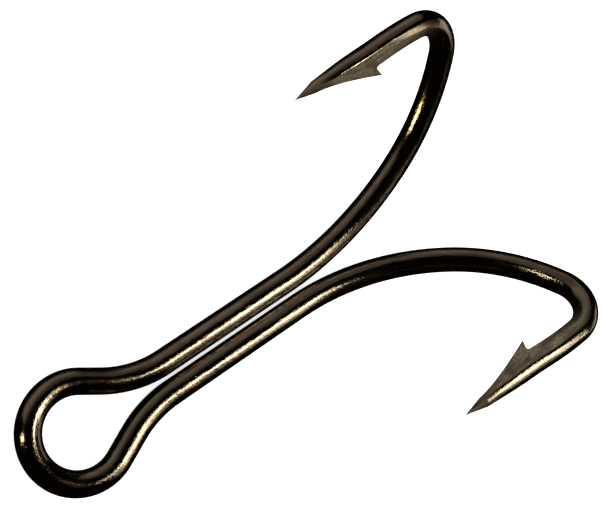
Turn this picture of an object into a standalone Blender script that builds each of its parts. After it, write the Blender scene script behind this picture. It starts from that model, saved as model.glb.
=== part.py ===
"""Double fishing hook, bent from one length of round wire.

The wire's middle is closed round an open eye. Its two legs run side by side as a pair of straight
shanks with a slit of daylight between them. Past the fork each leg sweeps away from the other in a
plane of its own, turns back in a tight bend and ends in a barbed point.

The frame: the origin is the eye's centre, +X runs along the shanks towards the bends, +Y is the left
side and +Z is up, the side that both arms rise to. The wire has no joint or seam. Each named stretch
of it is a solid of its own, and neighbouring stretches meet face to face on a section of the wire.
"""

import math

import bmesh
import bpy
from mathutils import Euler, Vector

# Driving dimensions, in metres and degrees. Radii are those of the wire's centreline.
WIRE_DIAMETER = 0.0020
SHANK_SLIT = 0.00025
EYE_RADIUS = 0.00365
EYE_SET_OVER = 0.0003
EYE_LEG_SLOPES = {"left": 31.8, "right": 26.1}
NECK_RADIUS = 0.0093
EYE_TO_FORK = 0.0199
ANGLE_BETWEEN_HOOKS = 105.0
FORK_RADIUS, FORK_TURN = 0.0211, 35.8
ARM_RADIUS, ARM_TURN = 0.01625, 34.4
BEND_RADIUS, BEND_TURN = 0.00283, 107.7
SPEAR_RADIUS, SPEAR_TURN = 0.0267, 7.5
POINT_RECURVE_RADIUS = 0.052
ROUND_BEHIND_BARB = 0.0015
POINT_TWISTS = {"left": 15.0, "right": 0.0}

# The point. Lengths run along the spear from its tip. Half widths are shares of the wire's radius.
TIP_FACET_LENGTH = 0.0020
BACK_TAPER_END = 0.0064
BARB_AT = {"left": 0.0071, "right": 0.0074}
BARB_HEIGHT = 0.00095
BARB_SWEEP = 0.00078
BARB_RISE_POWER = 1.6
BARB_BACK_STEP = 0.00005
TIP_BACK, TIP_SIDE, TIP_KEEL = 0.66, 0.58, 0.30
RIDGE_ANGLE = 67.5
KEEL_HALF_WIDTH = 0.00005

# How finely the round shapes are cut into facets.
SIDES = 32
DEGREES_PER_RING = 8.0
LONGEST_RING_STEP = 0.0014
RINGS_PER_POINT = 9

WIRE_RADIUS = WIRE_DIAMETER / 2
SHANK_OFFSET = (WIRE_DIAMETER + SHANK_SLIT) / 2
ARM_TILT = (180.0 - ANGLE_BETWEEN_HOOKS) / 2
SIDE_SIGN = {"left": 1.0, "right": -1.0}

LACQUERED = {"colour": (0.030, 0.024, 0.018), "roughness": 0.22}
GROUND = {"colour": (0.060, 0.048, 0.036), "roughness": 0.38}


def clear_scene():
    for obj in list(bpy.data.objects):
        bpy.data.objects.remove(obj, do_unlink=True)


def steel(name, colour, roughness):
    """A metallic Principled material for one stretch of the wire."""
    material = bpy.data.materials.new(name)
    material.use_nodes = True
    shader = material.node_tree.nodes["Principled BSDF"]
    shader.inputs["Base Color"].default_value = (*colour, 1.0)
    shader.inputs["Metallic"].default_value = 1.0
    shader.inputs["Roughness"].default_value = roughness
    return material


class Route:
    """The wire's centreline in the XY plane: straights and arcs, kept as (place, heading) stations."""

    def __init__(self, place, heading):
        self.stations = [(Vector((*place, 0.0)), heading)]

    def arc(self, radius, turn):
        """Turns by an angle in degrees, to the left if it is positive."""
        swing = math.radians(turn)
        rings = max(abs(turn) / DEGREES_PER_RING, radius * abs(swing) / LONGEST_RING_STEP)
        steps = max(2, math.ceil(rings))
        place, heading = self.stations[-1]
        reach = math.copysign(radius, turn)
        centre = place + reach * Vector((-math.sin(heading), math.cos(heading), 0.0))
        for step in range(1, steps + 1):
            here = heading + swing * step / steps
            self.stations.append((centre + reach * Vector((math.sin(here), -math.cos(here), 0.0)), here))
        return self

    def straight(self, length):
        place, heading = self.stations[-1]
        ahead = Vector((math.cos(heading), math.sin(heading), 0.0))
        self.stations.append((place + length * ahead, heading))
        return self


def ring_at(station, section, leans=None):
    """A section's points set square to the route at a station.

    A section is a list of (inward, across) pairs: inward is to the left of the heading and across is
    along Z. leans holds how far each point is pushed ahead along the heading.
    """
    place, heading = station
    ahead = Vector((math.cos(heading), math.sin(heading), 0.0))
    inward = Vector((-math.sin(heading), math.cos(heading), 0.0))
    across = Vector((0.0, 0.0, 1.0))
    leans = leans or [0.0] * len(section)
    return [place + u * inward + v * across + lean * ahead for (u, v), lean in zip(section, leans)]


def turned(section, degrees):
    """A section turned about the wire's centreline, from inward towards across."""
    cos, sin = math.cos(math.radians(degrees)), math.sin(math.radians(degrees))
    return [(u * cos - v * sin, u * sin + v * cos) for u, v in section]


def round_section():
    """The drawn wire's section, starting at the outside of the bend."""
    turns = [2 * math.pi * side / SIDES for side in range(SIDES)]
    return [(-WIRE_RADIUS * math.cos(turn), WIRE_RADIUS * math.sin(turn)) for turn in turns]


def bladed_section(back, side, keel):
    """A round back, back deep and side wide to each side, whose two flats meet in a keel."""
    ridge = math.radians(RIDGE_ANGLE)
    ridge_u, ridge_v = -back * math.cos(ridge), side * math.sin(ridge)
    keel_v = min(KEEL_HALF_WIDTH, ridge_v)
    section = []
    for step in range(SIDES):
        turn = 2 * math.pi * step / SIDES
        fold = min(turn, 2 * math.pi - turn)
        if fold <= ridge:
            u, v = -back * math.cos(fold), side * math.sin(fold)
        elif 2 * step == SIDES:
            u, v = keel, 0.0
        else:
            share = (fold - ridge) / (math.pi - ridge)
            u, v = ridge_u + (keel - ridge_u) * share, ridge_v + (keel_v - ridge_v) * share
        section.append((u, math.copysign(v, math.pi - turn)))
    return section


def skin(name, rings, tip=None):
    """A closed mesh over the rings: flat at its start, and flat or brought to a tip at its end."""
    shell = bmesh.new()
    loops = [[shell.verts.new(point) for point in ring] for ring in rings]
    for first, second in zip(loops, loops[1:]):
        for side in range(SIDES):
            after = (side + 1) % SIDES
            shell.faces.new((first[side], first[after], second[after], second[side]))
    shell.faces.new(loops[0])
    if tip is None:
        shell.faces.new(loops[-1])
    else:
        end = shell.verts.new(tip)
        for side in range(SIDES):
            shell.faces.new((loops[-1][side], loops[-1][(side + 1) % SIDES], end))
    bmesh.ops.recalc_face_normals(shell, faces=shell.faces)
    mesh = bpy.data.meshes.new(name)
    shell.to_mesh(mesh)
    shell.free()
    mesh.materials.append(None)
    mesh.shade_smooth()
    mesh.set_sharp_from_angle(angle=math.radians(35))
    return mesh


def wire_along(name, route):
    return skin(name, [ring_at(station, round_section()) for station in route.stations])


def add_piece(name, mesh, finish, parent=None):
    """Puts a stretch of the wire in the scene, with its own material on the object."""
    piece = bpy.data.objects.new(name, mesh)
    bpy.context.scene.collection.objects.link(piece)
    piece.material_slots[0].link = "OBJECT"
    piece.material_slots[0].material = steel(name + "_steel", **finish)
    piece.parent = parent
    return piece


def neck(side):
    """(radius, straight length, reach along X) of the wire from the eye's round to one shank.

    The round ends on a straight leg, which an arc of the neck's radius lays onto the shank. The
    neck's radius gives way where the eye stands too low for it.
    """
    slope = math.radians(EYE_LEG_SLOPES[side])
    drop = EYE_RADIUS * math.cos(slope) + SIDE_SIGN[side] * EYE_SET_OVER - SHANK_OFFSET
    radius = min(NECK_RADIUS, drop / (1 - math.cos(slope)))
    straight = (drop - radius * (1 - math.cos(slope))) / math.sin(slope)
    reach = (EYE_RADIUS + radius) * math.sin(slope) + straight * math.cos(slope)
    return radius, straight, reach


def make_eye():
    """The open eye: in from the left shank, round the far side and out to the right shank."""
    left, right = EYE_LEG_SLOPES["left"], EYE_LEG_SLOPES["right"]
    left_radius, left_straight, left_reach = neck("left")
    right_radius, right_straight, _ = neck("right")
    route = Route((left_reach, SHANK_OFFSET - EYE_SET_OVER), math.pi)
    route.arc(left_radius, -left).straight(left_straight)
    route.arc(EYE_RADIUS, 180.0 + left + right)
    route.straight(right_straight).arc(right_radius, -right)
    add_piece("eye", wire_along("eye", route), LACQUERED)


def shank_line(side):
    """Where a shank's centreline lies on Y, with the eye's centre at zero."""
    return SIDE_SIGN[side] * SHANK_OFFSET - EYE_SET_OVER


def make_shank(side):
    """One straight shank, from the eye's neck to the fork."""
    _, _, reach = neck(side)
    route = Route((0.0, 0.0), 0.0).straight(EYE_TO_FORK - reach)
    shank = add_piece("shank_" + side, wire_along("shank_" + side, route), LACQUERED)
    shank.location = (reach, shank_line(side), 0.0)


def hook_plane(side):
    """An empty at the fork. Its X and Y axes span the plane that this side's hook is bent in."""
    plane = bpy.data.objects.new("hook_plane_" + side, None)
    bpy.context.scene.collection.objects.link(plane)
    plane.location = (EYE_TO_FORK, shank_line(side), 0.0)
    tilt = ARM_TILT if side == "left" else 180.0 - ARM_TILT
    plane.rotation_euler = Euler((math.radians(tilt), 0.0, 0.0))
    return plane


def arm_route():
    """From the fork out along the long sweep of the arm."""
    return Route((0.0, 0.0), 0.0).arc(FORK_RADIUS, FORK_TURN).arc(ARM_RADIUS, ARM_TURN)


def bend_route():
    """The tight bend at the arm's end, and the start of the spear, which still curls in a little."""
    place, heading = arm_route().stations[-1]
    return Route(place.xy, heading).arc(BEND_RADIUS, BEND_TURN).arc(SPEAR_RADIUS, SPEAR_TURN)


def spear_station(from_tip, side):
    """(place, heading) on the spear's end, which bows back out by a slight recurve."""
    place, heading = bend_route().stations[-1]
    travel = BARB_AT[side] + ROUND_BEHIND_BARB - from_tip
    if travel <= 0:
        return place, heading
    turn = -math.degrees(travel / POINT_RECURVE_RADIUS)
    return Route(place.xy, heading).arc(POINT_RECURVE_RADIUS, turn).stations[-1]


def ground_share(from_tip, at_facet, taper_end):
    """A half width as a share of the wire's radius: it grows straight up the tip's facets to
    at_facet, then eases along a quarter sine to the full wire at taper_end."""
    if from_tip <= TIP_FACET_LENGTH:
        return at_facet * from_tip / TIP_FACET_LENGTH
    along = min(1.0, (from_tip - TIP_FACET_LENGTH) / (taper_end - TIP_FACET_LENGTH))
    return at_facet + (1.0 - at_facet) * math.sin(along * math.pi / 2)


def keel_depth(from_tip, side):
    """How deep the inner edge stands: a power curve from the facets up to the barb's tip."""
    facet = TIP_KEEL * WIRE_RADIUS
    barb_tip = WIRE_RADIUS + BARB_HEIGHT
    along = (from_tip - TIP_FACET_LENGTH) / (BARB_AT[side] + BARB_SWEEP - TIP_FACET_LENGTH)
    return facet + (barb_tip - facet) * along**BARB_RISE_POWER


def point_section(from_tip, side, keel):
    back = WIRE_RADIUS * ground_share(from_tip, TIP_BACK, BACK_TAPER_END)
    wide = WIRE_RADIUS * ground_share(from_tip, TIP_SIDE, BARB_AT[side])
    return bladed_section(back, wide, keel)


def barb_ring(side):
    """The last bladed ring. Whatever stands proud of the wire leans back, out to the barb's tip."""
    section = point_section(BARB_AT[side], side, WIRE_RADIUS + BARB_HEIGHT)
    proud = [max(0.0, (depth - WIRE_RADIUS) / BARB_HEIGHT) for depth, _ in section]
    leans = [-BARB_SWEEP * share for share in proud]
    return ring_at(spear_station(BARB_AT[side], side), turned(section, POINT_TWISTS[side]), leans)


def make_point(side, plane):
    """The barbed point: round wire, the barb's back, then the blade down to the tip's facets."""
    twist, barb_at = POINT_TWISTS[side], BARB_AT[side]
    whole = turned(round_section(), twist)
    round_ends = (barb_at + ROUND_BEHIND_BARB, barb_at + BARB_BACK_STEP)
    rings = [ring_at(spear_station(from_tip, side), whole) for from_tip in round_ends]
    rings.append(barb_ring(side))
    for step in range(1, RINGS_PER_POINT):
        from_tip = barb_at + (TIP_FACET_LENGTH - barb_at) * step / (RINGS_PER_POINT - 1)
        section = point_section(from_tip, side, keel_depth(from_tip, side))
        rings.append(ring_at(spear_station(from_tip, side), turned(section, twist)))
    tip, _ = spear_station(0.0, side)
    add_piece("point_" + side, skin("point_" + side, rings, tip), GROUND, plane)


def make_hook():
    make_eye()
    arm = wire_along("arm", arm_route())
    bend = wire_along("bend", bend_route())
    for side in ("left", "right"):
        make_shank(side)
        plane = hook_plane(side)
        add_piece("arm_" + side, arm, LACQUERED, plane)
        add_piece("bend_" + side, bend, LACQUERED, plane)
        make_point(side, plane)


clear_scene()
make_hook()
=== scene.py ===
"""The looks of a double fishing hook, bent from one length of bronzed and lacquered steel wire.

The whole surface follows one rule. A route is a line of straights and arcs in a plane. At every distance
along it stands a section, a closed outline square to the route, and a point of the surface is the
route's place, plus the section's share towards the inside of the bend, plus its share along the plane's
normal. Each named stretch of the wire is one such skin, and two neighbours meet on the same ring.

Lengths are in metres and angles in degrees, unless a name says otherwise.
"""

import math

import bpy
import numpy as np
from mathutils import Matrix, Vector


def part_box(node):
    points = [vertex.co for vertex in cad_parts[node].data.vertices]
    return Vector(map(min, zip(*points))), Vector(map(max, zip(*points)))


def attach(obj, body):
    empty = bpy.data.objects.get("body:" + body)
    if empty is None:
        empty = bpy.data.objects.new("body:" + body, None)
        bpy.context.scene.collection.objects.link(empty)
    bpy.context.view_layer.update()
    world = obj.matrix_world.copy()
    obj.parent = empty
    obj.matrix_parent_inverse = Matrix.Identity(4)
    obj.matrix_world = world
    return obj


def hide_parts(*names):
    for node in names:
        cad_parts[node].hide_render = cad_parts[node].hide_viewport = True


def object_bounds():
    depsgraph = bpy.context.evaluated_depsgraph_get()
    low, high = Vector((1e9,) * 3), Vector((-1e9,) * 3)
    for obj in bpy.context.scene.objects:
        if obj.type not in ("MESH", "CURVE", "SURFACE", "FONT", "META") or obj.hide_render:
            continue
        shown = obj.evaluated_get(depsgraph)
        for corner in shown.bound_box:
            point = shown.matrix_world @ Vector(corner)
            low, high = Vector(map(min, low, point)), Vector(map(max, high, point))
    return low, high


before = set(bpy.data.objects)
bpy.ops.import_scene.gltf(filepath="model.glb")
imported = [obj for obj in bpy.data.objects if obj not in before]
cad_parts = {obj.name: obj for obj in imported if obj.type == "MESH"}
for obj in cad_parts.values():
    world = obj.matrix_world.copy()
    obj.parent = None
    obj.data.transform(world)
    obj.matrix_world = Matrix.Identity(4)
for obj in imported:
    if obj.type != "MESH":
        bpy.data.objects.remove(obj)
CAD_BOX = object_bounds()

# The wire's bends, on its centreline.
EYE_RADIUS = 0.00365
EYE_LEG_SLOPES = {"left": 31.8, "right": 26.1}
NECK_RADIUS = 0.0093
ARM_TILT = 37.5
ARM_BENDS = ((0.0211, 35.8), (0.01625, 34.4))
POINT_BENDS = ((0.00283, 107.7), (0.0267, 7.5))
POINT_RECURVE_RADIUS = 0.052
POINT_TWISTS = {"left": 15.0, "right": 0.0}

# The ground point. Lengths run along the spear from its tip, and half widths are shares of the wire's radius.
TIP_FACET_LENGTH = 0.0020
BACK_TAPER_END = 0.0064
BARB_AT = {"left": 0.0071, "right": 0.0074}
ROUND_BEHIND_BARB = 0.0015
BARB_HEIGHT = 0.00095
BARB_SWEEP = 0.00078
BARB_RISE_POWER = 1.6
NOTCH_LENGTH = 0.00060
BARB_STARTS_AT = 0.44
FIRST_TIP_RING = 0.4
LEAN_FROM = 0.0050
FLATS_RUN_OUT = 0.0120
GRINDING_RUN_OUT = 0.0150
TIP_BACK, TIP_SIDE, TIP_KEEL = 0.66, 0.58, 0.30
RIDGE_FROM_KEEL = 112.5
KEEL_HALF_WIDTH = 0.00004

# The handles of the curves that cut the notch: their reach along the wire, low on the flats and at the
# keel, and how far across the notch the first one stands.
HANDLE_REACH, KEEL_UNDERCUT, KEEL_RUN_OUT = 0.00018, 0.00042, 0.00036
HANDLE_DROP, KEEL_DROP_ADDED = 0.33, 0.45

# How the grinding shows: lacquer left on the keel, the facets' share of bare steel, and the ridges' wear
# in degrees to each side.
KEEL_LACQUER, FACETS_BARE, RIDGE_WEAR = 0.8, 0.55, 5.0
SURFACE_RELIEF = 0.000014

# How fine the skins are.
AROUND = 96
TIP_STEP, BLADE_STEP, BEND_STEP, ARM_STEP, SHANK_STEP, EYE_STEP = 5e-5, 8e-5, 1e-4, 2e-4, 3e-4, 1.2e-4
NOTCH_RINGS = 14
SEAM_STEP = 1e-5

# The camera, from the middle of the object's box.
CAMERA_AIM = (0.002531, 0.002726, 0.000783)
CAMERA_AZIMUTH, CAMERA_ELEVATION, CAMERA_ROLL = 161.41, 62.385, -77.186
CAMERA_DISTANCE = 0.104146
LENS_MM = 83.52

LIGHT_DISTANCE = 0.8
FLOOR_GAP = 0.00002
SHARP_ANGLE = 60

MM = 0.001
SIDE_SIGN = {"left": 1.0, "right": -1.0}

WIRE_RADIUS = (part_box("eye")[1].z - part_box("eye")[0].z) / 2
POINT_LENGTH = {side: BARB_AT[side] + ROUND_BEHIND_BARB for side in SIDE_SIGN}
FORK_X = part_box("shank_left")[1].x
SHANK_Y = {side: (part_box("shank_" + side)[0].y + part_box("shank_" + side)[1].y) / 2 for side in SIDE_SIGN}
SHANK_LENGTH = {side: FORK_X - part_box("shank_" + side)[0].x for side in SIDE_SIGN}


def smooth_step(low, high, value):
    """0 below low, 1 above high, and 3t^2 - 2t^3 between."""
    t = np.clip((value - low) / (high - low), 0.0, 1.0)
    return t * t * (3 - 2 * t)


class Route:
    """A plane line of straights and arcs, given as (length, turn in radians) runs.

    Inside a run the heading grows evenly with the distance d from its start. The chord back to that
    start is d * sin(h) / h long, h being half the turn so far, and points along the mean heading.
    """

    def __init__(self, start, heading, runs):
        lengths, turns = np.array(runs).T
        self.joins = np.concatenate([[0.0], np.cumsum(lengths)])
        self.headings = heading + np.concatenate([[0.0], np.cumsum(turns)])
        self.turn_rates = turns / lengths
        mean = self.headings[:-1] + turns / 2
        chords = lengths * np.sinc(turns / 2 / np.pi)
        steps = np.stack([chords * np.cos(mean), chords * np.sin(mean)], axis=1)
        self.places = np.array(start) + np.concatenate([np.zeros((1, 2)), np.cumsum(steps, axis=0)])

    @property
    def length(self):
        return self.joins[-1]

    def at(self, travel):
        """(x, y, heading) at distances along the route, in arrays of the same shape."""
        run = np.searchsorted(self.joins, travel, side="right") - 1
        run = np.clip(run, 0, len(self.turn_rates) - 1)
        past = travel - self.joins[run]
        half = self.turn_rates[run] * past / 2
        chord = past * np.sinc(half / np.pi)
        mean = self.headings[run] + half
        x = self.places[run, 0] + chord * np.cos(mean)
        y = self.places[run, 1] + chord * np.sin(mean)
        return x, y, self.headings[run] + 2 * half


class Bench:
    """A route laid on a plane in space: an origin, the plane's two axes and its normal."""

    def __init__(self, route, origin, x_axis, y_axis, normal):
        self.route = route
        self.origin, self.x_axis, self.y_axis, self.normal = map(np.array, (origin, x_axis, y_axis, normal))

    def points(self, travel, leftward, upward):
        """The route's place, plus leftward to the left of its heading, plus upward along the normal."""
        x, y, heading = self.route.at(travel)
        x = x - leftward * np.sin(heading)
        y = y + leftward * np.cos(heading)
        return (
            self.origin
            + x[..., None] * self.x_axis
            + y[..., None] * self.y_axis
            + upward[..., None] * self.normal
        )


def arc(radius, turn):
    """(length, turn in radians) of an arc. A positive turn is to the left."""
    swing = math.radians(turn)
    return radius * abs(swing), swing


def neck_straight(side):
    """Length of the straight leg between the eye's round and the neck's arc.

    The leg falls by its length times the sine of its slope. Together with the heights of the two arcs
    that makes the distance from the eye's crown to the shank.
    """
    slope = math.radians(EYE_LEG_SLOPES[side])
    drop = EYE_RADIUS * math.cos(slope) - abs(SHANK_Y[side])
    return (drop - NECK_RADIUS * (1 - math.cos(slope))) / math.sin(slope)


def loop_bench():
    """The wire's middle: from the left fork down the shank, round the eye and out to the right fork."""
    slopes = EYE_LEG_SLOPES
    runs = [
        (SHANK_LENGTH["left"], 0.0),
        arc(NECK_RADIUS, -slopes["left"]),
        (neck_straight("left"), 0.0),
        arc(EYE_RADIUS, 180.0 + slopes["left"] + slopes["right"]),
        (neck_straight("right"), 0.0),
        arc(NECK_RADIUS, -slopes["right"]),
        (SHANK_LENGTH["right"], 0.0),
    ]
    route = Route((FORK_X, SHANK_Y["left"]), math.pi, runs)
    return Bench(route, (0, 0, 0), (1, 0, 0), (0, 1, 0), (0, 0, 1))


def hook_bench(side):
    """One hook, from its fork to its tip, in a plane that leans outwards by the arm's tilt."""
    runs = [arc(radius, turn) for radius, turn in ARM_BENDS + POINT_BENDS]
    runs.append((POINT_LENGTH[side], -POINT_LENGTH[side] / POINT_RECURVE_RADIUS))
    out, up = SIDE_SIGN[side] * math.cos(math.radians(ARM_TILT)), math.sin(math.radians(ARM_TILT))
    normal = (0, -SIDE_SIGN[side] * up, abs(out))
    return Bench(Route((0, 0), 0.0, runs), (FORK_X, SHANK_Y[side], 0), (1, 0, 0), (0, out, up), normal)


def stations(start, end, step):
    """Even distances from start to end, and one more right beside each end.

    The extra rings give the skin its true slope at the joint, so no seam shows where stretches meet.
    """
    even = np.linspace(start, end, max(2, math.ceil((end - start) / step)) + 1)
    return np.concatenate([[start, start + SEAM_STEP], even[1:-1], [end - SEAM_STEP, end]])


def around_wire():
    """Angles round the wire in degrees, from the eye's outer side (0) over the top (90)."""
    return np.arange(AROUND) * 360.0 / AROUND


def from_keel(side):
    """Angles round the wire in degrees from this side's keel, which faces into the bend, -180 to 180."""
    return (around_wire() - ARM_TILT - POINT_TWISTS[side] + 180.0) % 360.0 - 180.0


def ground_share(from_tip, at_facet, taper_end):
    """A half width as a share of the wire's radius: it grows straight up the tip's facets, and then
    eases along a quarter sine to the full wire at taper_end."""
    along = np.clip((from_tip - TIP_FACET_LENGTH) / (taper_end - TIP_FACET_LENGTH), 0.0, 1.0)
    eased = at_facet + (1.0 - at_facet) * np.sin(along * np.pi / 2)
    return np.where(from_tip < TIP_FACET_LENGTH, at_facet * from_tip / TIP_FACET_LENGTH, eased)


def keel_depth(from_tip, side):
    """How deep the inner edge stands: straight up the facet, then a power curve up to the barb's tip."""
    facet, barb_tip = TIP_KEEL * WIRE_RADIUS, WIRE_RADIUS + BARB_HEIGHT
    along = np.clip((from_tip - TIP_FACET_LENGTH) / (BARB_AT[side] + BARB_SWEEP - TIP_FACET_LENGTH), 0.0, 1.0)
    blade = facet + (barb_tip - facet) * along**BARB_RISE_POWER
    return np.where(from_tip < TIP_FACET_LENGTH, facet * from_tip / TIP_FACET_LENGTH, blade)


def flat_share(keel_angle):
    """0 at the ridge and on the round back, growing evenly to 1 at the keel."""
    return np.clip(1.0 - np.abs(keel_angle) / RIDGE_FROM_KEEL, 0.0, 1.0)


def blade_section(from_tip, side):
    """(towards the keel, sideways) of the blade's outline.

    The back is an ellipse. From the ridge each flat runs straight to the keel, which keeps a narrow
    rounded edge.
    """
    back = WIRE_RADIUS * ground_share(from_tip, TIP_BACK, BACK_TAPER_END)
    wide = WIRE_RADIUS * ground_share(from_tip, TIP_SIDE, BARB_AT[side])
    keel_angle = from_keel(side)
    angle, ridge = np.radians(np.abs(keel_angle)), math.radians(RIDGE_FROM_KEEL)
    ridge_in, ridge_side = back * math.cos(ridge), wide * math.sin(ridge)
    share = flat_share(keel_angle)
    edge = np.minimum(KEEL_HALF_WIDTH, ridge_side) * np.sqrt(np.clip(1.0 - share**8, 0.0, 1.0))
    flat_in = ridge_in + (keel_depth(from_tip, side) - ridge_in) * share
    inward = np.where(share > 0, flat_in, back * np.cos(angle))
    sideways = np.where(share > 0, ridge_side * (1 - share) + edge * share, wide * np.sin(angle))
    return inward, sideways * np.sign(keel_angle)


def shank_section(from_tip, side):
    """(towards the keel, sideways) behind the barb: the round wire, still cut by the two flats.

    A flat is the line from the ridge to the barb's edge. Whatever stands beyond it is pressed back onto
    it, by a share that dies away up the spear.
    """
    keel_angle = from_keel(side)
    angle, ridge = np.radians(np.abs(keel_angle)), math.radians(RIDGE_FROM_KEEL)
    edge = np.array([WIRE_RADIUS + BARB_HEIGHT, KEEL_HALF_WIDTH])
    run = edge - WIRE_RADIUS * np.array([math.cos(ridge), math.sin(ridge)])
    across = np.array([-run[1], run[0]]) / np.linalg.norm(run)
    reach = WIRE_RADIUS * (across[0] * math.cos(ridge) + across[1] * math.sin(ridge))
    inward, sideways = WIRE_RADIUS * np.cos(angle), WIRE_RADIUS * np.sin(angle)
    beyond = np.maximum(0.0, inward * across[0] + sideways * across[1] - reach)
    left_over = 1.0 - smooth_step(BARB_AT[side], FLATS_RUN_OUT, from_tip)
    inward = inward - beyond * across[0] * left_over
    sideways = sideways - beyond * across[1] * left_over
    return inward, sideways * np.sign(keel_angle)


def proud_share(side):
    """How much of the barb each angle round the wire carries.

    None on the back and the outer part of the flats, growing evenly to 1 at the keel.
    """
    return np.clip((flat_share(from_keel(side)) - BARB_STARTS_AT) / (1.0 - BARB_STARTS_AT), 0.0, 1.0)


def notch_rings(side):
    """(from tip, inward, sideways) of the barb's hollow back, one cubic curve for each point of the ring.

    Each curve leaves the barb's edge steeply, down and towards the tip, and runs out along the wire.
    """
    proud = proud_share(side)
    start_tip = BARB_AT[side] + BARB_SWEEP * proud
    start = np.stack([start_tip, *blade_section(start_tip, side)])
    end_tip = np.full_like(start_tip, BARB_AT[side] + NOTCH_LENGTH)
    end = np.stack([end_tip, *shank_section(end_tip, side)])
    first, second = start + (HANDLE_DROP + KEEL_DROP_ADDED * proud) * (end - start), end.copy()
    first[0] = start[0] + HANDLE_REACH * (1 - proud) - KEEL_UNDERCUT * proud
    second[0] = end[0] - HANDLE_REACH * (1 - proud) - KEEL_RUN_OUT * proud
    t = np.linspace(0.0, 1.0, NOTCH_RINGS + 1)[1:, None, None]
    rings = (1 - t) ** 3 * start + 3 * (1 - t) ** 2 * t * first + 3 * (1 - t) * t**2 * second + t**3 * end
    return rings.transpose(1, 0, 2)


def point_rings(side):
    """(from tip, inward, sideways) of the whole point, from the first ring above the tip to round wire."""
    barb_at = BARB_AT[side]
    facet = np.arange(FIRST_TIP_RING, TIP_FACET_LENGTH / TIP_STEP)[:, None] * TIP_STEP
    blade_rings = math.ceil((barb_at - TIP_FACET_LENGTH) / BLADE_STEP)
    blade = np.linspace(TIP_FACET_LENGTH, barb_at, blade_rings)[:, None]
    square = np.concatenate([facet, blade])
    leaning = square + BARB_SWEEP * proud_share(side) * smooth_step(LEAN_FROM, barb_at, square)
    blade_grid = np.stack([leaning, *blade_section(leaning, side)])
    behind = stations(barb_at + NOTCH_LENGTH, POINT_LENGTH[side], BLADE_STEP)[1:, None] + np.zeros(AROUND)
    behind_grid = np.stack([behind, *shank_section(behind, side)])
    return np.concatenate([blade_grid, notch_rings(side), behind_grid], axis=1)


def skin(name, rings, start, end, wear):
    """A closed mesh over a grid of rings. A fan closes each end on the point given for it.

    wear maps an attribute's name to its values, one for each grid point, and the two end points repeat
    the mean of the ring beside them.
    """
    rows, columns = rings.shape[:2]
    points = np.concatenate([rings.reshape(-1, 3), [start, end]])
    index = np.arange(rows * columns).reshape(rows, columns)
    after = np.roll(index, -1, axis=1)
    quads = np.stack([index[:-1], after[:-1], after[1:], index[1:]], axis=-1).reshape(-1, 4)
    first, last = np.full(columns, rows * columns), np.full(columns, rows * columns + 1)
    fans = np.concatenate(
        [np.stack([after[0], index[0], first], axis=-1), np.stack([index[-1], after[-1], last], axis=-1)]
    )
    corners = points[np.concatenate([quads[:, [0, 1, 2]], quads[:, [0, 2, 3]], fans])]
    if np.linalg.det(corners - points.mean(axis=0)).sum() < 0:
        quads, fans = quads[:, ::-1], fans[:, ::-1]
    mesh = bpy.data.meshes.new(name)
    mesh.from_pydata(points, [], quads.tolist() + fans.tolist())
    mesh.shade_smooth()
    mesh.set_sharp_from_angle(angle=math.radians(SHARP_ANGLE))
    for attribute, values in wear.items():
        values = np.concatenate([values, values[[0, -1]].mean(axis=1, keepdims=True).repeat(columns, 1)])
        flat = np.concatenate([values[:rows].reshape(rows * columns, -1), values[rows:, 0].reshape(2, -1)])
        kind, key = ("FLOAT_VECTOR", "vector") if flat.shape[1] == 3 else ("FLOAT", "value")
        mesh.attributes.new(attribute, kind, "POINT").data.foreach_set(key, flat.astype(np.float32).ravel())
    return mesh


def add_stretch(node, mesh, material):
    """Puts one stretch of the wire in the scene in place of its CAD node."""
    piece = bpy.data.objects.new(node + "_finish", mesh)
    bpy.context.scene.collection.objects.link(piece)
    mesh.materials.append(material)
    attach(piece, "root")
    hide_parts(node)
    return piece


def straightened(distance, angle):
    """Where a point would be, in millimetres, if the whole wire were pulled straight."""
    radius = WIRE_RADIUS / MM
    angle = np.radians(angle + np.zeros_like(distance))
    return np.stack([distance / MM, radius * np.cos(angle), radius * np.sin(angle)], axis=-1)


def add_loop_stretch(node, bench, start, end, step, material):
    """A stretch of plain round wire on the loop: a circle swept along the route."""
    travel = stations(start, end, step)[:, None] + np.zeros(AROUND)
    angle = np.radians(around_wire() + np.zeros_like(travel))
    rings = bench.points(travel, -WIRE_RADIUS * np.cos(angle), WIRE_RADIUS * np.sin(angle))
    untouched = np.zeros_like(travel)
    wear = {"wire_place": straightened(travel, around_wire()), "ground": untouched, "edge": untouched}
    mesh = skin(node, rings, rings[0].mean(axis=0), rings[-1].mean(axis=0), wear)
    add_stretch(node, mesh, material)


def ground_mask(from_tip, side):
    """1 on the flats and about half round the tip's facets.

    The flats' share dies away behind the barb, and lacquer is left on the keel and at the very tip.
    """
    share = flat_share(from_keel(side))
    on_flat = smooth_step(0.0, 0.06, share) * (1 - KEEL_LACQUER * smooth_step(0.93, 0.99, share))
    on_flat = on_flat * (1 - smooth_step(BARB_AT[side] + 0.0005, GRINDING_RUN_OUT, from_tip))
    on_tip = 1 - smooth_step(0.9 * TIP_FACET_LENGTH, 1.8 * TIP_FACET_LENGTH, from_tip)
    bare = np.maximum(on_flat * (1 - (1 - FACETS_BARE) * on_tip), FACETS_BARE * on_tip)
    return bare * smooth_step(0.0, 0.0012, from_tip)


def edge_mask(from_tip, side):
    """1 on the two ridges, falling off within a fraction of a millimetre."""
    ridge = np.exp(-(((np.abs(from_keel(side)) - RIDGE_FROM_KEEL) / RIDGE_WEAR) ** 2))
    fades_out = 1 - smooth_step(BARB_AT[side], FLATS_RUN_OUT, from_tip)
    return ridge * smooth_step(0.0006, 0.0014, from_tip) * fades_out


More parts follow.
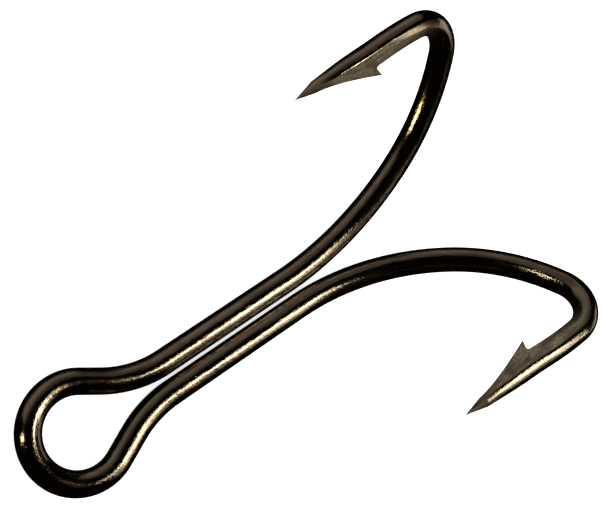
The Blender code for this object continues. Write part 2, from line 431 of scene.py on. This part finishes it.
def add_hook_stretch(node, side, bench, joined, rings, tip, material, slot):
    """A stretch of one hook, from (from tip, towards the keel, sideways) rings.

    The outline is turned with the point's twist, from the inside of the bend towards the plane's
    normal. joined is how far along the straightened wire this side's fork lies.
    """
    from_tip, towards_keel, sideways = rings
    cos, sin = math.cos(math.radians(POINT_TWISTS[side])), math.sin(math.radians(POINT_TWISTS[side]))
    travel = bench.route.length - from_tip
    grid = bench.points(travel, towards_keel * cos - sideways * sin, towards_keel * sin + sideways * cos)
    along = joined - SIDE_SIGN[side] * travel
    wear = {
        "wire_place": straightened(along, around_wire()),
        "ground": ground_mask(from_tip, side),
        "edge": edge_mask(from_tip, side),
    }
    start = grid[0].mean(axis=0) if tip is None else tip
    add_stretch(node, skin(node, grid, start, grid[-1].mean(axis=0), wear), material)


def hook_stretch_rings(side, start, end, step):
    """Rings of plain wire between two distances from the tip, with what is left of the flats."""
    from_tip = stations(start, end, step)[:, None] + np.zeros(AROUND)
    return np.stack([from_tip, *shank_section(from_tip, side)])


def make_hook(wire_finish, point_finish):
    """All nine stretches: shank, eye and shank along the loop, then arm, bend and point on each side."""
    loop = loop_bench()
    left, right = SHANK_LENGTH["left"], loop.route.length - SHANK_LENGTH["right"]
    add_loop_stretch("shank_left", loop, 0.0, left, SHANK_STEP, wire_finish)
    add_loop_stretch("eye", loop, left, right, EYE_STEP, wire_finish)
    add_loop_stretch("shank_right", loop, right, loop.route.length, SHANK_STEP, wire_finish)
    for side, joined in (("left", 0.0), ("right", loop.route.length)):
        bench = hook_bench(side)
        fork, elbow = bench.route.length, bench.route.length - bench.route.joins[len(ARM_BENDS)]
        bend = hook_stretch_rings(side, POINT_LENGTH[side], elbow, BEND_STEP)
        arm = hook_stretch_rings(side, elbow, fork, ARM_STEP)
        tip = bench.points(np.array(fork), np.array(0.0), np.array(0.0))
        laid = (side, bench, joined)
        add_hook_stretch("point_" + side, *laid, point_rings(side), tip, point_finish, "ground_point")
        add_hook_stretch("bend_" + side, *laid, bend, None, wire_finish, "bronzed_wire")
        add_hook_stretch("arm_" + side, *laid, arm, None, wire_finish, "bronzed_wire")


class Shader:
    """A short way to write a node tree: add makes a node and sets or links its inputs by name or number."""

    def __init__(self, tree):
        self.tree = tree

    def add(self, kind, inputs=None, **settings):
        made = self.tree.nodes.new(kind)
        for name, value in settings.items():
            setattr(made, name, value)
        for key, value in (inputs or {}).items():
            if isinstance(value, bpy.types.NodeSocket):
                self.tree.links.new(value, made.inputs[key])
            else:
                made.inputs[key].default_value = value
        return made

    def sums(self, operation, first, second):
        return self.add("ShaderNodeMath", {0: first, 1: second}, operation=operation).outputs[0]

    def spread(self, value, low, high, to_low=0.0, to_high=1.0):
        """value mapped evenly from low..high to to_low..to_high, and held at the ends."""
        inputs = {"Value": value, "From Min": low, "From Max": high, "To Min": to_low, "To Max": to_high}
        return self.add("ShaderNodeMapRange", inputs).outputs["Result"]

    def blend(self, share, first, second):
        mixed = self.add("ShaderNodeMix", data_type="RGBA")
        for socket, value in zip((mixed.inputs[0], mixed.inputs[6], mixed.inputs[7]), (share, first, second)):
            if isinstance(value, bpy.types.NodeSocket):
                self.tree.links.new(value, socket)
            else:
                socket.default_value = value
        return mixed.outputs[2]

    def noise(self, place, stretch, scale, detail, roughness=0.55):
        """Noise on a place first scaled by stretch. A small first number draws it out along the wire."""
        moved = self.add("ShaderNodeVectorMath", {0: place, 1: stretch}, operation="MULTIPLY").outputs[0]
        inputs = {"Vector": moved, "Scale": scale, "Detail": detail, "Roughness": roughness}
        return self.add("ShaderNodeTexNoise", inputs).outputs["Fac"]


def new_group(name, inputs, outputs):
    group = bpy.data.node_groups.new(name, "ShaderNodeTree")
    for label, kind in inputs.items():
        group.interface.new_socket(label, in_out="INPUT", socket_type=kind)
    for label, kind in outputs.items():
        group.interface.new_socket(label, in_out="OUTPUT", socket_type=kind)
    return group


def bronze_group():
    """The bronzed and lacquered wire: draw lines, lacquer clouds and a few pits.

    Place is the straightened wire in millimetres. Height is 0 to 1, for a bump.
    """
    outputs = {"Colour": "NodeSocketColor", "Roughness": "NodeSocketFloat", "Height": "NodeSocketFloat"}
    group = new_group("bronzed_lacquer", {"Place": "NodeSocketVector"}, outputs)
    make = Shader(group)
    place = make.add("NodeGroupInput").outputs["Place"]
    lines = make.noise(place, (0.10, 1.0, 1.0), 5.5, 3.0)
    hairs = make.noise(place, (0.05, 1.0, 1.0), 26.0, 2.0)
    clouds = make.noise(place, (0.45, 1.0, 1.0), 0.9, 4.0)
    rust = make.noise(place, (0.3, 1.0, 1.0), 1.7, 5.0)
    cells = make.add("ShaderNodeTexVoronoi", {"Vector": place, "Scale": 0.95}, feature="F1")
    pits = make.spread(cells.outputs["Distance"], 0.035, 0.075, 1.0, 0.0)
    brown = make.blend(make.spread(clouds, 0.35, 0.65), (0.060, 0.043, 0.026, 1), (0.125, 0.090, 0.055, 1))
    brown = make.blend(make.spread(rust, 0.55, 0.72, 0.0, 0.6), brown, (0.15, 0.066, 0.026, 1))
    colour = make.blend(make.sums("MULTIPLY", pits, 0.8), brown, (0.012, 0.009, 0.006, 1))
    line_roughness = make.spread(lines, 0.35, 0.65, -0.02, 0.04)
    roughness = make.sums("ADD", make.spread(clouds, 0.3, 0.7, 0.08, 0.15), line_roughness)
    swell = make.noise(place, (0.14, 1.0, 1.0), 2.1, 2.0)
    peel = make.noise(place, (0.7, 1.0, 1.0), 5.0, 3.0)
    height = make.sums("ADD", make.sums("MULTIPLY", lines, 0.8), make.sums("MULTIPLY", swell, 1.6))
    height = make.sums("ADD", height, make.sums("MULTIPLY", peel, 0.8))
    height = make.sums("ADD", height, make.sums("MULTIPLY", hairs, 0.4))
    height = make.sums("SUBTRACT", height, make.sums("MULTIPLY", pits, 0.5))
    make.add("NodeGroupOutput", {"Colour": colour, "Roughness": roughness, "Height": height})
    return group


def grinding_group():
    """Ground steel under a thin brown film: satin, with fine lines along the flats and worn edges."""
    inputs = {"Place": "NodeSocketVector", "Edge": "NodeSocketFloat"}
    outputs = {"Colour": "NodeSocketColor", "Roughness": "NodeSocketFloat", "Height": "NodeSocketFloat"}
    group = new_group("ground_steel", inputs, outputs)
    make = Shader(group)
    given = make.add("NodeGroupInput").outputs
    grooves = make.noise(given["Place"], (0.22, 1.0, 1.0), 17.0, 4.0, 0.65)
    grain = make.noise(given["Place"], (1.0, 1.0, 1.0), 7.0, 5.0, 0.6)
    stains = make.noise(given["Place"], (0.5, 1.0, 1.0), 1.6, 5.0, 0.6)
    brown = make.blend(make.spread(grain, 0.35, 0.68), (0.055, 0.041, 0.026, 1), (0.290, 0.225, 0.140, 1))
    brown = make.blend(make.spread(stains, 0.45, 0.60, 0.0, 0.75), brown, (0.060, 0.032, 0.018, 1))
    worn = make.sums("MULTIPLY", given["Edge"], make.spread(grain, 0.35, 0.6, 0.25, 1.0))
    colour = make.blend(worn, brown, (0.22, 0.18, 0.13, 1))
    polished = make.sums("MULTIPLY", worn, -0.14)
    roughness = make.sums("ADD", make.spread(grooves, 0.3, 0.7, 0.40, 0.56), polished)
    height = make.sums("ADD", make.sums("MULTIPLY", grooves, 0.6), make.sums("MULTIPLY", grain, 0.5))
    make.add("NodeGroupOutput", {"Colour": colour, "Roughness": roughness, "Height": height})
    return group


def hook_steel(name, bronze, grinding):
    """Bronzed lacquer that gives way to ground steel where the ground attribute says so."""
    material = bpy.data.materials.new(name)
    material.use_nodes = True
    material.node_tree.nodes.clear()
    make = Shader(material.node_tree)
    place = make.add("ShaderNodeAttribute", attribute_name="wire_place").outputs["Vector"]
    ground = make.add("ShaderNodeAttribute", attribute_name="ground").outputs["Fac"]
    edge = make.add("ShaderNodeAttribute", attribute_name="edge").outputs["Fac"]
    wire = make.add("ShaderNodeGroup", node_tree=bronze)
    flats = make.add("ShaderNodeGroup", node_tree=grinding)
    make.tree.links.new(place, wire.inputs["Place"])
    make.tree.links.new(place, flats.inputs["Place"])
    make.tree.links.new(edge, flats.inputs["Edge"])
    colour = make.blend(ground, wire.outputs["Colour"], flats.outputs["Colour"])
    roughness, height = (
        make.add("ShaderNodeMix", {0: ground, 2: wire.outputs[name], 3: flats.outputs[name]}).outputs[0]
        for name in ("Roughness", "Height")
    )
    coat = make.spread(ground, 0.0, 1.0, 1.0, 0.25)
    bump = make.add("ShaderNodeBump", {"Strength": 1.0, "Distance": SURFACE_RELIEF, "Height": height})
    shader = make.add(
        "ShaderNodeBsdfPrincipled",
        {
            "Base Color": colour,
            "Metallic": make.spread(ground, 0.0, 1.0, 1.0, 0.5),
            "Roughness": roughness,
            "Coat Weight": coat,
            "Coat Roughness": 0.06,
            "Coat IOR": 1.5,
            "Normal": bump.outputs["Normal"],
            "Coat Normal": bump.outputs["Normal"],
        },
    )
    make.add("ShaderNodeOutputMaterial", {"Surface": shader.outputs[0]})
    return material


def floor_material():
    """Pale matte board with a barely visible tooth."""
    material = bpy.data.materials.new("pale_board")
    material.use_nodes = True
    material.node_tree.nodes.clear()
    make = Shader(material.node_tree)
    place = make.add("ShaderNodeTexCoord").outputs["Object"]
    tooth = make.noise(place, (1.0, 1.0, 1.0), 900.0, 3.0)
    colour = make.blend(tooth, (0.88, 0.88, 0.87, 1), (0.92, 0.92, 0.91, 1))
    board = {"Base Color": colour, "Roughness": 0.9, "Specular IOR Level": 0.0}
    glow = {"Emission Color": colour, "Emission Strength": 0.8}
    shader = make.add("ShaderNodeBsdfPrincipled", board | glow)
    make.add("ShaderNodeOutputMaterial", {"Surface": shader.outputs[0]})
    return material


def make_floor():
    """A flat square just under the lowest point of the wire. Gloss on the hook doesn't mirror it."""
    half = 0.6
    mesh = bpy.data.meshes.new("floor")
    corners = [(-half, -half, 0), (half, -half, 0), (half, half, 0), (-half, half, 0)]
    mesh.from_pydata(corners, [], [(0, 1, 2, 3)])
    mesh.materials.append(floor_material())
    floor = bpy.data.objects.new("floor", mesh)
    floor.location.z = CAD_BOX[0].z - FLOOR_GAP
    floor.visible_glossy = False
    bpy.context.scene.collection.objects.link(floor)


def direction(azimuth, elevation):
    """The unit vector at an azimuth from +X towards +Y and an elevation above the floor."""
    a, e = math.radians(azimuth), math.radians(elevation)
    return Vector((math.cos(a) * math.cos(e), math.sin(a) * math.cos(e), math.sin(e)))


def add_light(name, azimuth, elevation, width, height, brightness, colour, seen_on=()):
    """A soft light that covers width by height degrees of sky. Brightness is its radiance.

    seen_on names the only stretches of the wire that the light falls on, if it is flagged off the rest.
    """
    data = bpy.data.lights.new(name, "AREA")
    data.shape = "RECTANGLE"
    data.size = 2 * LIGHT_DISTANCE * math.tan(math.radians(width / 2))
    data.size_y = 2 * LIGHT_DISTANCE * math.tan(math.radians(height / 2))
    data.energy = brightness * math.pi * data.size * data.size_y
    data.color = colour
    light = bpy.data.objects.new(name, data)
    towards = direction(azimuth, elevation)
    light.location = middle() + LIGHT_DISTANCE * towards
    light.rotation_mode = "QUATERNION"
    light.rotation_quaternion = towards.to_track_quat("Z", "Y")
    light.visible_camera = False
    bpy.context.scene.collection.objects.link(light)
    if seen_on:
        lit = bpy.data.collections.new(name + "_lit")
        for node in seen_on:
            lit.objects.link(bpy.data.objects[node + "_finish"])
        light.light_linking.receiver_collection = lit


def middle():
    """The middle of the object's box."""
    return (CAD_BOX[0] + CAD_BOX[1]) / 2


def make_lights():
    add_light("window", -43, 57, 12, 14, 24.0, (0.97, 0.98, 0.80))
    add_light("window_below", -51, 39, 10, 20, 8.0, (1.0, 0.96, 0.74))
    add_light("window_edge", -62, 33, 7, 24, 1.1, (1.0, 0.90, 0.74))
    add_light("window_sill", -28, 10, 40, 14, 1.3, (1.0, 0.92, 0.76))
    add_light("far_wall", 84, 26, 84, 62, 0.32, (1.0, 0.92, 0.80))
    add_light("far_wall_low", 90, 18, 80, 34, 0.34, (1.0, 0.91, 0.78))
    add_light("left_lamp", 149, 14, 11, 18, 26.0, (1.0, 1.0, 0.50), seen_on=("arm_left", "bend_left"))
    add_light("eye_lamp", 156, 27, 7, 22, 18.0, (1.0, 0.97, 0.62), seen_on=("eye",))
    add_light("right_lamp", 159, 51, 5, 6, 40.0, (1.0, 0.97, 0.70), seen_on=("arm_right", "bend_right"))


def make_world():
    """White for the eye and the matte floor, nearly dark for gloss, so the wire mirrors only the lights."""
    world = bpy.data.worlds.new("studio")
    world.use_nodes = True
    world.node_tree.nodes.clear()
    make = Shader(world.node_tree)
    path = make.add("ShaderNodeLightPath")
    colour = make.blend(path.outputs["Is Glossy Ray"], (1, 1, 1, 1), (0.006, 0.005, 0.004, 1))
    sky = make.add("ShaderNodeBackground", {"Color": colour, "Strength": 1.0})
    make.add("ShaderNodeOutputWorld", {"Surface": sky.outputs[0]})
    bpy.context.scene.world = world


def make_camera():
    data = bpy.data.cameras.new("camera")
    data.lens = LENS_MM
    data.clip_start = 0.005
    camera = bpy.data.objects.new("camera", data)
    back = direction(CAMERA_AZIMUTH, CAMERA_ELEVATION)
    level_right = (-back).cross(Vector((0, 0, 1))).normalized()
    level_up = level_right.cross(-back)
    roll = math.radians(CAMERA_ROLL)
    up = math.cos(roll) * level_up + math.sin(roll) * level_right
    right = math.cos(roll) * level_right - math.sin(roll) * level_up
    place = middle() + Vector(CAMERA_AIM) + CAMERA_DISTANCE * back
    camera.matrix_world = Matrix.Translation(place) @ Matrix((right, up, back)).transposed().to_4x4()
    bpy.context.scene.collection.objects.link(camera)
    bpy.context.scene.camera = camera


bpy.context.scene.view_settings.view_transform = "Standard"
bronze, grinding = bronze_group(), grinding_group()
finishes = [hook_steel(name, bronze, grinding) for name in ("bronzed_wire", "ground_point")]
make_hook(*finishes)
make_floor()
make_lights()
make_world()
make_camera()
